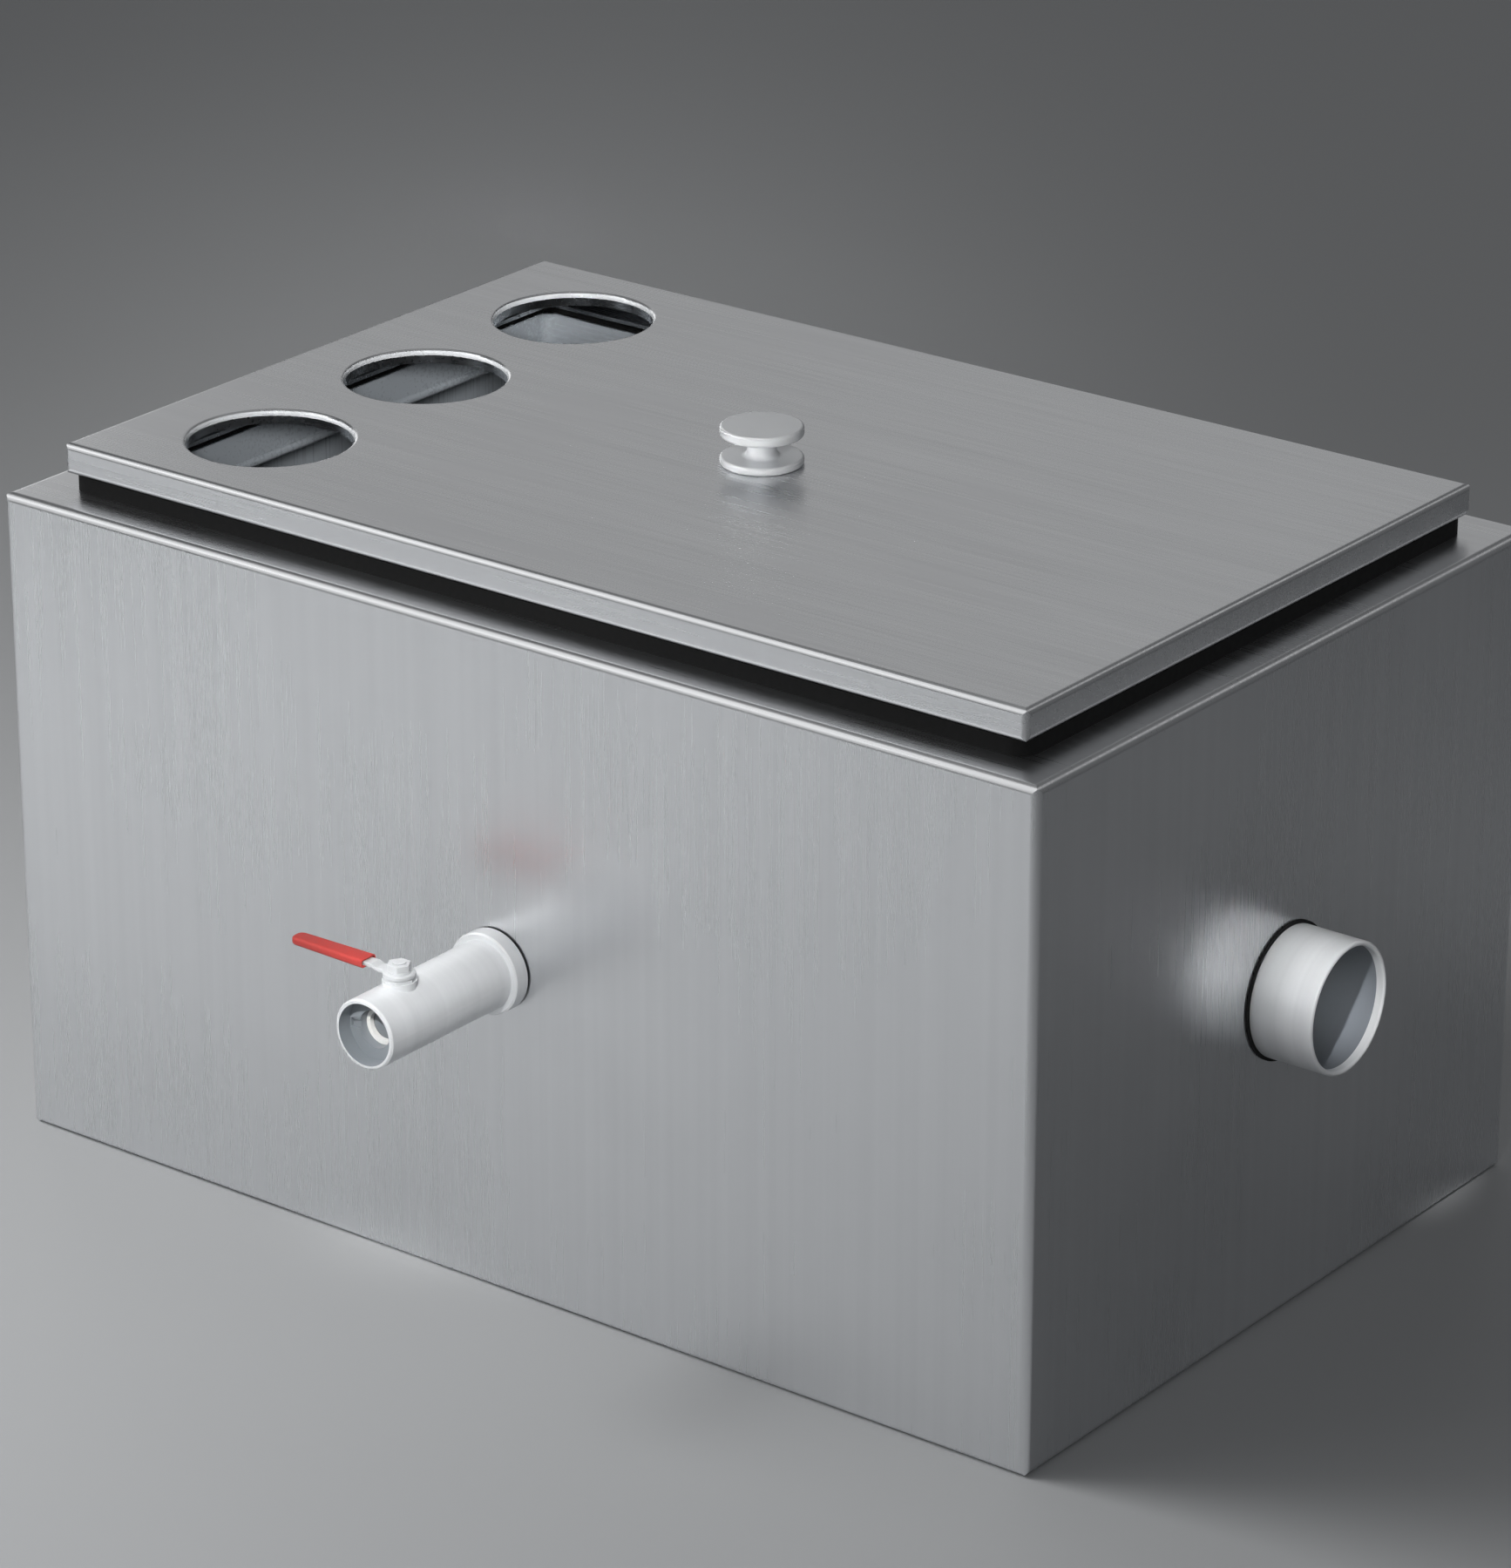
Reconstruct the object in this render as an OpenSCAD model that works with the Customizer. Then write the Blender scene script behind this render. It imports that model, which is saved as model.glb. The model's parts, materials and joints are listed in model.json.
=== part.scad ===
// Free-standing stainless grease trap: a folded tank with a lift-off lid, three inlets,
// a strainer basket, an inlet baffle, an outlet with its tee, and a grease draw-off valve.
// Origin at the middle of the base, +X towards the outlet, -Y towards the valve, +Z up.

/* [Tank] */
// Outside width of the tank, along X
tank_w = 600; // [520:5:900]
// Outside depth of the tank, along Y
tank_d = 400; // [380:5:600]
// Height from the base to the top of the rim
tank_h = 330; // [300:5:450]
// Thickness of the tank's sheet
sheet_t = 2; // [1.5:0.1:3]
// Outside radius of the tank's folds
tank_bend = 4; // [3.2:0.1:6]
// Width of the rim, from the tank's side to the opening
rim_w = 32; // [31:0.5:40]
// Depth of the lip turned down from the rim
lip_h = 18; // [10:1:30]
// Diameter of the bead rolled along the lip's lower edge
bead_d = 5; // [3:0.5:6]

/* [Lid] */
// Distance from the tank's side to the lid's side
lid_inset = 21; // [16:0.5:22]
// Height of the lid's folded edge
lid_h = 15.5; // [13:0.5:24]
// Thickness of the lid's sheet
lid_t = 2; // [1:0.1:2.4]
// Outside radius of the lid's folds
lid_bend = 3; // [2.6:0.1:5]
// Width of the flange turned back under the lid
return_w = 22; // [16:1:26]
// Diameter of each inlet
inlet_d = 80; // [50:1:92]
// Number of inlets in the row
inlet_n = 3; // [1:1:3]
// Distance between neighbouring inlets
inlet_pitch = 114; // [100:1:116]
// Distance from the tank's side to the row of inlets
inlet_inset = 93.5; // [90:0.5:105]
// Depth of an inlet's drawn collar, with the sheet
collar_h = 7; // [5:0.5:9]
// Radius of an inlet's drawn edge
inlet_edge = 2; // [1:0.1:2]

/* [Lid seal] */
// Width of the rubber seal under the lid
seal_w = 8; // [5:0.5:8]
// Height of the seal, which is the gap under the lid
seal_h = 8; // [4:0.5:14]
// Distance from the lid's side to the seal
seal_inset = 1.5; // [0.5:0.5:1.5]

/* [Knob] */
// Diameter of the knob's two discs
knob_d = 40; // [28:1:60]
// Height of the knob
knob_h = 19; // [18:0.5:30]
// Thickness of the knob's top disc
knob_top_t = 5; // [4:0.5:7]
// Thickness of the knob's foot disc
knob_foot_t = 4; // [3.5:0.5:6]
// Diameter of the knob's neck
knob_neck_d = 14; // [12:1:18]
// Diameter of the screw that holds the knob
knob_screw_d = 6; // [4:1:8]

/* [Basket] */
// Width of the basket, along X
basket_w = 104; // [90:1:110]
// Depth of the basket
basket_h = 95; // [60:1:120]
// Height of the basket's rim above the base
basket_z = 250; // [220:1:275]
// Thickness of the basket's sheet
basket_t = 1.5; // [1:0.1:2]
// Width of the flanges by which the basket hangs
hang_w = 14; // [10:1:18]
// Diameter of the basket's drain holes
mesh_d = 8; // [4:0.5:9]
// Distance between neighbouring drain holes
mesh_pitch = 14; // [12:0.5:20]
// Diameter of the handles' wire
wire_d = 5; // [4:0.5:6]
// Width of each handle
handle_w = 64; // [50:1:76]
// Height of each handle above the basket's rim
handle_h = 32; // [24:1:45]

/* [Baffle] */
// Distance from the basket to the baffle
baffle_clear = 11.5; // [8:0.5:40]
// Gap under the baffle
baffle_gap = 60; // [30:1:100]
// Height of the baffle's top above the base
baffle_top = 296; // [200:1:300]
// Width of the baffle's side flanges
baffle_flange = 18; // [12:1:30]

/* [Outlet] */
// Outside diameter of the outlet pipe
outlet_d = 63.5; // [40:0.5:80]
// Thickness of the outlet pipe
outlet_t = 2.5; // [2.2:0.1:4]
// Step of the shoulder that seats the outlet pipe on its seal
outlet_step = 1; // [0.5:0.1:1.2]
// Height of the outlet's axis above the base
outlet_z = 165; // [150:1:200]
// Length of the outlet outside the tank
outlet_l = 34; // [20:1:80]
// Bevel of the outlet pipe's end
outlet_bevel = 0.8; // [0.4:0.1:1.2]
// Width of the black seal round the outlet
outlet_seal_w = 1.5; // [1:0.1:6]
// Thickness of the seal's two flanges
outlet_seal_t = 1; // [0.8:0.1:4]
// Depth of the tee's socket over the pipe
socket_l = 26; // [18:1:34]
// Thickness of the tee
tee_t = 2.2; // [1.6:0.1:3]
// Length of the tee above the outlet's axis
tee_rise = 60; // [50:1:90]
// Length of the tee below the outlet's axis
tee_drop = 105; // [60:1:120]

/* [Valve] */
// Height of the valve's axis above the base
valve_z = 165; // [120:1:220]
// Outside diameter of the valve's barrel
barrel_d = 33.7; // [33:0.1:40]
// Distance from the tank to the mouth of the valve
valve_l = 92; // [88:1:120]
// Distance from the tank to the valve's stem
stem_u = 67; // [62:0.5:70]
// Diameter of the valve's collar
valve_collar_d = 40; // [38:0.5:50]
// Length of the valve's collar
valve_collar_l = 8; // [4:0.5:14]
// Bevel of the valve's turned edges
valve_bevel = 0.8; // [0.4:0.1:1.2]
// Thickness of the seals on both sides of the wall
wall_seal_t = 1; // [1:0.1:3]
// Diameter of the nipple through the wall
nipple_d = 26.4; // [24:0.1:28]
// Length of the nipple inside the tank
nipple_l = 20; // [16:1:30]
// Thickness of the back nut
back_nut_t = 8; // [5:0.5:10]
// Diameter of the way through the valve
way_d = 14; // [10:0.5:14]
// Diameter of the ball
ball_d = 24; // [22:0.5:24]
// Inside diameter of the mouth
mouth_d = 29.4; // [28.5:0.1:30]
// Thickness of the insert that holds the outer seat
insert_t = 5; // [3:0.5:7]

/* [Lever] */
// Diameter of the stem
stem_d = 8; // [6:0.5:8]
// Thickness of the lever's strip
lever_t = 2; // [1.6:0.1:3]
// Width of the lever's strip
lever_w = 6.5; // [6:0.5:8]
// Length of the lever from the stem
lever_l = 62; // [56:1:90]
// Rise of the lever's crank
lever_rise = 1; // [0:0.5:6]
// Length of the red grip
grip_l = 44; // [36:1:46]
// Width of the grip at its wide end
grip_w = 10; // [9.5:0.5:14]
// Width of the grip at its tip
grip_tip_w = 8.5; // [8.5:0.5:10]
// Thickness of the grip
grip_t = 4.2; // [4:0.1:6]

/* [Hidden] */
$fn = 96;
eps = 0.01;
// Slack of a thread, of a push fit and of a loose piece in its seat
thread_gap = 0.1;
push_gap = 0.1;
loose_gap = 0.3;
// Running fit of the stem, and room between the ball and its seats
stem_fit = 0.05;
ball_gap = 0.2;
// Room to lift the basket past the bead of the lip
basket_clear = 4;

steel = [0.72, 0.73, 0.74];
dark_steel = [0.55, 0.56, 0.58];
black_rubber = [0.05, 0.05, 0.05];
white_polymer = [0.92, 0.92, 0.90];
red_vinyl = [0.78, 0.16, 0.14];

// Tank
wall_x = tank_w / 2 - sheet_t;
wall_y = tank_d / 2 - sheet_t;
open_w = tank_w - 2 * rim_w;
open_d = tank_d - 2 * rim_w;
lip_r = 6;

// Lid and its seal
lid_w = tank_w - 2 * lid_inset;
lid_d = tank_d - 2 * lid_inset;
lid_z = tank_h + seal_h;
lid_top = lid_z + lid_h;
seal_out_w = lid_w - 2 * seal_inset;
seal_out_d = lid_d - 2 * seal_inset;
seal_r = 10;
inlet_r = inlet_d / 2;
inlet_x = inlet_inset - tank_w / 2;
inlet_y0 = -inlet_pitch * (inlet_n - 1) / 2;

// Knob and its screw
knob_edge = 1.5;
knob_fillet = 3;
screw_head_d = 2 * knob_screw_d;
screw_head_t = 0.65 * knob_screw_d;
screw_key = 0.7 * knob_screw_d;
screw_key_l = 0.6 * screw_head_t;
washer_d = 3 * knob_screw_d;
washer_t = 1.6;
screw_tip_gap = 1;
screw_grip = knob_h - knob_top_t - screw_tip_gap;

// Basket, hung on rails by the flanges at its two ends
basket_x = inlet_x;
basket_reach = open_d / 2 - basket_clear;
basket_end = basket_reach - hang_w;
basket_floor = basket_z - basket_h;
ledge_w = 8;
rail_t = 2;
rail_drop = 22;
rail_side = 4;
rail_gap = 2;
rail_end = basket_end + rail_gap;
rail_l = basket_w + 2 * rail_side;
mesh_margin = ledge_w + mesh_d / 2 + 2;
mesh_nx = floor((basket_w - 2 * mesh_margin) / mesh_pitch) + 1;
mesh_ny = floor((2 * basket_end - 2 * mesh_margin) / mesh_pitch) + 1;
handle_bend = 10;
handle_foot = 24;

// Baffle
baffle_t = 2;
baffle_x = basket_x + basket_w / 2 + baffle_clear + baffle_t / 2;

// Outlet, seal and tee
outlet_r = outlet_d / 2;
outlet_bore_r = outlet_r - outlet_t;
spigot_r = outlet_r - outlet_step;
web_r = outlet_r + outlet_seal_w / 2;
seal_face_x = wall_x - outlet_seal_t;
pipe_end_x = seal_face_x - socket_l;
socket_r = spigot_r + push_gap;
tee_stop_r = (outlet_bore_r + spigot_r) / 2;
tee_stop_l = 2;
branch_r = socket_r + tee_t;
tube_ease = 0.5;
tube_bore_r = branch_r - tube_ease;
tube_r = tube_bore_r + tee_t;
tee_x = pipe_end_x - tube_r - tee_stop_l;

// Valve, measured outward from the wall's outer face
barrel_r = barrel_d / 2;
way_r = way_d / 2;
ball_r = ball_d / 2;
seat_wall = 1.5;
chamber_r = ball_r + seat_wall;
mouth_r = mouth_d / 2;
mouth_step = 0.7;
insert_r = mouth_r - mouth_step;
insert_ease = 2;
seat_t = 5;
seat_room = 0.5;
seat_back = ball_r + seat_room;
chamber_u = stem_u - seat_back;
insert_u = stem_u + seat_back;
nipple_r = nipple_d / 2;
seal_lip = 0.7;
nut_wall = 4.8;
nut_flats = nipple_d + 2 * nut_wall;
nut_seal_d = nut_flats + 2 * seal_lip;
outer_seal_d = valve_collar_d - 2 * seal_lip;

// Stem, gland and lever, measured upward from the valve's axis
stem_r = stem_d / 2;
tang_w = 4.8;
tang_l = 7.6;
tang_h = 4;
tang_top = ball_r + ball_gap;
slot_floor = tang_top - tang_h - ball_gap;
tang_root = 0.5;
gland_wall = 2;
gland_r = stem_r + gland_wall;
boss_wall = 2;
boss_r = gland_r + boss_wall;
boss_rise = 1.65;
pocket_floor = 1.7;
pocket_y = chamber_r + pocket_floor;
packing_t = 2;
gland_bite = 1.3;
boss_top = max(barrel_r + boss_rise, pocket_y + packing_t + gland_bite);
gland_ledge = 0.5;
gland_flats = 2 * (gland_r + gland_ledge);
gland_head = 1.5;
lever_y = boss_top + gland_head + loose_gap;
flat_w = 0.7 * stem_d;
thread_r = 0.75 * stem_r;
spring_t = 1;
lever_nut_t = 3.2;
lever_nut_flats = 1.25 * stem_d;
spring_lip = 0.5;
thread_proud = 0.6;
hub_r = 7.5;
crank_start = 11;
crank_run = 3;
grip_start = lever_l - grip_l;
grip_edge = 1.6;
grip_cap = 2;
strip_l = lever_l - grip_cap;

// Shared shapes

module rounded_rect(w, d, r) {
    square([w - 2 * r, d], center = true);
    square([w, d - 2 * r], center = true);
    for (sx = [-1, 1], sy = [-1, 1])
        translate([sx * (w / 2 - r), sy * (d / 2 - r)]) circle(r);
}

// A block on z = 0 with every edge rounded
module rounded_block(w, d, h, r) {
    intersection() {
        linear_extrude(h) rounded_rect(w, d, r);
        translate([0, 0, h / 2]) rotate([90, 0, 0])
            linear_extrude(d, center = true) rounded_rect(w, h, r);
        translate([0, 0, h / 2]) rotate([90, 0, 90])
            linear_extrude(w, center = true) rounded_rect(d, h, r);
    }
}

module rect_ring(w, d, r, wall, h) {
    linear_extrude(h) difference() {
        rounded_rect(w, d, r);
        rounded_rect(w - 2 * wall, d - 2 * wall, max(r - wall, 0.5));
    }
}

// A round bar bent along the outline of a rounded rectangle
module rect_bead(w, d, r, bar_d) {
    for (s = [-1, 1]) {
        translate([s * w / 2, 0, 0]) rotate([90, 0, 0]) cylinder(d = bar_d, h = d - 2 * r, center = true);
        translate([0, s * d / 2, 0]) rotate([0, 90, 0]) cylinder(d = bar_d, h = w - 2 * r, center = true);
    }
    for (sx = [0, 1], sy = [0, 1]) mirror([sx, 0, 0]) mirror([0, sy, 0])
        translate([w / 2 - r, d / 2 - r, 0]) rotate_extrude(angle = 90) translate([r, 0]) circle(d = bar_d);
}

module ring(r_out, r_in, h) {
    difference() {
        cylinder(r = r_out, h = h);
        translate([0, 0, -eps]) cylinder(r = r_in, h = h + 2 * eps);
    }
}

module hex_prism(flats, h) {
    cylinder(d = flats / cos(30), h = h, $fn = 6);
}

// Section of a disc with rounded edges, for turning
module disc_section(r, t, e) {
    square([r - e, t]);
    translate([0, e]) square([r, t - 2 * e]);
    for (y = [e, t - e]) translate([r - e, y]) circle(e);
}

// Places

module at_inlets() {
    for (i = [0 : inlet_n - 1])
        translate([inlet_x, inlet_y0 + i * inlet_pitch, 0]) children();
}

// z runs outward from the right wall's outer face
module at_outlet() {
    translate([tank_w / 2, 0, outlet_z]) rotate([0, 90, 0]) children();
}

// z runs outward from the front wall's outer face, y runs up
module at_valve() {
    translate([0, -tank_d / 2, valve_z]) rotate([90, 0, 0]) children();
}

// z runs up from the valve's axis along the stem
module at_stem() {
    translate([0, -tank_d / 2 - stem_u, valve_z]) children();
}

// Tank, lid and knob

// The closed skin of folded sheet that the body and the rim are parts of
module folded_skin() {
    difference() {
        rounded_block(tank_w, tank_d, tank_h, tank_bend);
        translate([0, 0, sheet_t])
            rounded_block(2 * wall_x, 2 * wall_y, tank_h - 2 * sheet_t, tank_bend - sheet_t);
    }
}

module tank_body() {
    color(steel) difference() {
        folded_skin();
        translate([0, 0, tank_h]) cube([2 * tank_w, 2 * tank_d, 2 * tank_bend], center = true);
        at_outlet() translate([0, 0, -2 * sheet_t]) cylinder(r = web_r, h = 4 * sheet_t);
        at_valve() translate([0, 0, -2 * sheet_t]) cylinder(r = nipple_r + loose_gap, h = 4 * sheet_t);
    }
}

// A frame welded on the body's top edge, with its lip turned down round the opening
module tank_rim() {
    lip_top = lip_h - sheet_t / 2;
    color(steel) {
        difference() {
            union() {
                intersection() {
                    folded_skin();
                    translate([0, 0, tank_h]) cube([2 * tank_w, 2 * tank_d, 2 * tank_bend], center = true);
                }
                translate([0, 0, tank_h - lip_h])
                    rect_ring(open_w + 2 * sheet_t, open_d + 2 * sheet_t, lip_r + sheet_t, sheet_t, lip_top);
            }
            translate([0, 0, tank_h - lip_h - eps])
                linear_extrude(lip_h + 2 * eps) rounded_rect(open_w, open_d, lip_r);
        }
        translate([0, 0, tank_h - lip_h])
            rect_bead(open_w + sheet_t, open_d + sheet_t, lip_r + sheet_t / 2, bead_d);
    }
}

// Cuts one inlet with its drawn edge out of a sheet whose top is at z = 0
module inlet_cut() {
    translate([0, 0, -collar_h - 1]) cylinder(r = inlet_r, h = collar_h + 2);
    rotate_extrude() difference() {
        translate([inlet_r - 1, -inlet_edge]) square([inlet_edge + 1, inlet_edge + 1]);
        translate([inlet_r + inlet_edge, -inlet_edge]) circle(inlet_edge);
    }
}

module lid() {
    hollow_w = lid_w - 2 * lid_t;
    hollow_d = lid_d - 2 * lid_t;
    flange_w = lid_w - 2 * return_w;
    flange_d = lid_d - 2 * return_w;
    color(steel) translate([0, 0, lid_z]) difference() {
        union() {
            difference() {
                rounded_block(lid_w, lid_d, lid_h, lid_bend);
                translate([0, 0, lid_t])
                    rounded_block(hollow_w, hollow_d, lid_h - 2 * lid_t, lid_bend - lid_t);
                translate([0, 0, -eps]) linear_extrude(2 * lid_t) rounded_rect(flange_w, flange_d, lip_r);
            }
            at_inlets() translate([0, 0, lid_h - collar_h])
                cylinder(r = inlet_r + lid_t, h = collar_h - lid_t / 2);
        }
        at_inlets() translate([0, 0, lid_h]) inlet_cut();
        cylinder(d = knob_screw_d + 2 * loose_gap, h = lid_h + 1);
    }
}

module lid_seal() {
    color(black_rubber) translate([0, 0, tank_h])
        rect_ring(seal_out_w, seal_out_d, seal_r, seal_w, seal_h);
}

module lid_knob() {
    neck_r = knob_neck_d / 2;
    neck_top = knob_h - knob_top_t;
    color(steel) translate([0, 0, lid_top]) difference() {
        rotate_extrude() {
            disc_section(knob_d / 2, knob_foot_t, knob_edge);
            translate([0, neck_top]) disc_section(knob_d / 2, knob_top_t, knob_edge);
            square([neck_r, knob_h - 1]);
            difference() {
                translate([0, knob_foot_t]) square([neck_r + knob_fillet, neck_top - knob_foot_t]);
                for (y = [knob_foot_t + knob_fillet, neck_top - knob_fillet])
                    translate([neck_r + knob_fillet, y]) circle(knob_fillet);
                translate([neck_r, knob_foot_t + knob_fillet])
                    square([knob_fillet + 1, neck_top - knob_foot_t - 2 * knob_fillet]);
            }
        }
        translate([0, 0, -eps]) cylinder(d = knob_screw_d + 2 * thread_gap, h = screw_grip + screw_tip_gap);
    }
}

module knob_washer() {
    color(steel) translate([0, 0, lid_top - lid_t - washer_t])
        ring(washer_d / 2, knob_screw_d / 2 + loose_gap, washer_t);
}

module knob_screw() {
    head_top = lid_top - lid_t - washer_t;
    color(dark_steel) translate([0, 0, head_top - screw_head_t]) difference() {
        union() {
            cylinder(d = screw_head_d, h = screw_head_t);
            cylinder(d = knob_screw_d, h = screw_head_t + washer_t + lid_t + screw_grip);
        }
        translate([0, 0, -eps]) hex_prism(screw_key, screw_key_l);
    }
}

// Baffle and basket

module inlet_baffle() {
    h = baffle_top - baffle_gap;
    color(steel) translate([baffle_x, 0, baffle_gap]) {
        linear_extrude(h) {
            square([baffle_t, 2 * wall_y], center = true);
            for (s = [-1, 1])
                translate([baffle_flange / 2 - baffle_t / 2, s * (wall_y - baffle_t / 2)])
                    square([baffle_flange, baffle_t], center = true);
        }
    }
}

module basket_rails() {
    color(steel) for (s = [0, 1]) mirror([0, s, 0])
        translate([basket_x - rail_l / 2, 0, basket_z - basket_t]) {
            translate([0, rail_end, -rail_t]) cube([rail_l, wall_y - rail_end, rail_t]);
            translate([0, wall_y - rail_t, -rail_drop]) cube([rail_l, rail_t, rail_drop]);
        }
}

module basket_frame() {
    color(steel) translate([basket_x, 0, basket_floor]) difference() {
        union() {
            translate([-basket_w / 2, -basket_end, 0]) cube([basket_w, 2 * basket_end, basket_h]);
            translate([-basket_w / 2, -basket_reach, basket_h - basket_t])
                cube([basket_w, 2 * basket_reach, basket_t]);
        }
        translate([-basket_w / 2 + basket_t, -basket_end + basket_t, basket_t])
            cube([basket_w - 2 * basket_t, 2 * (basket_end - basket_t), basket_h]);
        translate([-basket_w / 2 + ledge_w, -basket_end + ledge_w, -eps])
            cube([basket_w - 2 * ledge_w, 2 * (basket_end - ledge_w), basket_h]);
    }
}

module basket_screen() {
    screen_w = basket_w - 2 * basket_t - 2 * loose_gap;
    screen_d = 2 * (basket_end - basket_t - loose_gap);
    color(steel) translate([basket_x, 0, basket_floor + basket_t]) difference() {
        translate([-screen_w / 2, -screen_d / 2, 0]) cube([screen_w, screen_d, basket_t]);
        for (i = [0 : mesh_nx - 1], j = [0 : mesh_ny - 1])
            translate([(i - (mesh_nx - 1) / 2) * mesh_pitch, (j - (mesh_ny - 1) / 2) * mesh_pitch, -eps])
                cylinder(d = mesh_d, h = basket_t + 2 * eps);
    }
}

// A bent wire welded to the inside of each end of the basket
module basket_handles() {
    leg = handle_foot + handle_h - handle_bend;
    bar = handle_w - 2 * handle_bend;
    color(steel) for (s = [-1, 1])
        translate([basket_x, s * (basket_end - basket_t - wire_d / 2), basket_z - handle_foot]) {
            for (m = [-1, 1]) {
                translate([m * handle_w / 2, 0, 0]) cylinder(d = wire_d, h = leg);
                translate([m * bar / 2, 0, leg]) rotate([90, 0, 0])
                    rotate_extrude(angle = m * 90, start = m > 0 ? 0 : 180)
                        translate([handle_bend, 0]) circle(d = wire_d);
            }
            translate([-bar / 2, 0, leg + handle_bend]) rotate([0, 90, 0])
                cylinder(d = wire_d, h = bar);
        }
}

// Outlet

// A spigot whose shoulder meets the outside of the seal
module outlet_pipe() {
    spigot_end = pipe_end_x - tank_w / 2;
    color(steel) at_outlet() rotate_extrude() polygon([
        [outlet_bore_r, spigot_end], [spigot_r, spigot_end],
        [spigot_r, outlet_seal_t], [outlet_r, outlet_seal_t],
        [outlet_r, outlet_l - outlet_bevel], [outlet_r - outlet_bevel, outlet_l],
        [outlet_bore_r + outlet_bevel, outlet_l], [outlet_bore_r, outlet_l - outlet_bevel]]);
}

// A grommet that grips the wall and the pipe
module outlet_seal() {
    lip = outlet_r + outlet_seal_w;
    color(black_rubber) at_outlet() rotate_extrude() polygon([
        [spigot_r, -sheet_t - outlet_seal_t], [lip, -sheet_t - outlet_seal_t],
        [lip, -sheet_t], [web_r, -sheet_t], [web_r, 0], [lip, 0],
        [lip, outlet_seal_t], [spigot_r, outlet_seal_t]]);
}

// The tee draws from below the grease, and its open top breaks the siphon
module outlet_tee() {
    branch_l = seal_face_x - tee_x;
    tube_l = tee_drop + tee_rise;
    color(steel) translate([tee_x, 0, outlet_z]) difference() {
        union() {
            translate([0, 0, -tee_drop]) cylinder(r = tube_r, h = tube_l);
            rotate([0, 90, 0]) cylinder(r = branch_r, h = branch_l);
        }
        translate([0, 0, -tee_drop - eps]) cylinder(r = tube_bore_r, h = tube_l + 2 * eps);
        rotate([0, 90, 0]) cylinder(r = tee_stop_r, h = branch_l);
        translate([branch_l - socket_l, 0, 0]) rotate([0, 90, 0])
            cylinder(r = socket_r, h = socket_l + eps);
    }
}

// Draw-off valve

// Section of the turned body, with its radius along x and its length along y
module body_section() {
    collar_r = valve_collar_d / 2;
    collar_end = wall_seal_t + valve_collar_l;
    polygon([
        [0, -sheet_t - nipple_l], [nipple_r - valve_bevel, -sheet_t - nipple_l],
        [nipple_r, -sheet_t - nipple_l + valve_bevel],
        [nipple_r, wall_seal_t], [collar_r, wall_seal_t],
        [collar_r, collar_end - valve_bevel], [collar_r - valve_bevel, collar_end],
        [barrel_r, collar_end], [barrel_r, valve_l - valve_bevel],
        [barrel_r - valve_bevel, valve_l], [0, valve_l]]);
}

module valve_body() {
    color(steel) difference() {
        union() {
            at_valve() rotate_extrude() body_section();
            at_stem() cylinder(r = boss_r, h = boss_top);
        }
        at_valve() {
            translate([0, 0, -sheet_t - nipple_l - eps])
                cylinder(r = way_r, h = sheet_t + nipple_l + stem_u);
            translate([0, 0, chamber_u]) cylinder(r = chamber_r, h = insert_u - chamber_u + 1);
            translate([0, 0, insert_u]) cylinder(r = insert_r, h = insert_t + 1);
            translate([0, 0, insert_u + insert_t]) cylinder(r = mouth_r, h = valve_l - insert_u);
        }
        at_stem() {
            cylinder(r = stem_r + stem_fit, h = boss_top);
            translate([0, 0, pocket_y]) cylinder(r = gland_r, h = boss_top);
        }
    }
}

module outer_wall_seal() {
    color(black_rubber) at_valve() ring(outer_seal_d / 2, nipple_r, wall_seal_t);
}

module inner_wall_seal() {
    color(black_rubber) at_valve() translate([0, 0, -sheet_t - wall_seal_t])
        ring(nut_seal_d / 2, nipple_r, wall_seal_t);
}

module back_nut() {
    color(steel) at_valve() translate([0, 0, -sheet_t - wall_seal_t - back_nut_t]) difference() {
        hex_prism(nut_flats, back_nut_t);
        translate([0, 0, -eps]) cylinder(r = nipple_r + thread_gap, h = back_nut_t + 2 * eps);
    }
}

// Two rings whose faces follow the ball
module valve_seats() {
    color(white_polymer) at_valve() translate([0, 0, stem_u]) for (s = [0, 1])
        mirror([0, 0, s]) difference() {
            translate([0, 0, seat_back - seat_t]) ring(chamber_r, way_r, seat_t);
            sphere(r = ball_r + ball_gap);
        }
}

// Closed at rest: the way through the ball lies across the barrel
module valve_ball() {
    color(steel) at_stem() difference() {
        sphere(r = ball_r);
        rotate([0, 90, 0]) cylinder(r = way_r, h = ball_d, center = true);
        translate([-tang_w / 2 - push_gap, -ball_r, slot_floor])
            cube([tang_w + 2 * push_gap, ball_d, ball_r]);
    }
}

module valve_insert() {
    slot_w = 4;
    slot_depth = 1.5;
    color(steel) at_valve() translate([0, 0, insert_u]) difference() {
        ring(insert_r, way_r + insert_ease, insert_t);
        translate([-insert_r, -slot_w / 2, insert_t - slot_depth])
            cube([2 * insert_r, slot_w, slot_depth + 1]);
    }
}

module stem_packing() {
    color(white_polymer) at_stem() translate([0, 0, pocket_y])
        ring(gland_r, stem_r + stem_fit, packing_t);
}

module gland_nut() {
    thread_l = boss_top - pocket_y - packing_t;
    color(dark_steel) at_stem() translate([0, 0, pocket_y + packing_t]) difference() {
        union() {
            cylinder(r = gland_r - thread_gap, h = thread_l + eps);
            translate([0, 0, thread_l]) hex_prism(gland_flats, gland_head);
        }
        translate([0, 0, -eps]) cylinder(r = stem_r + stem_fit, h = thread_l + gland_head + 3 * eps);
    }
}

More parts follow.
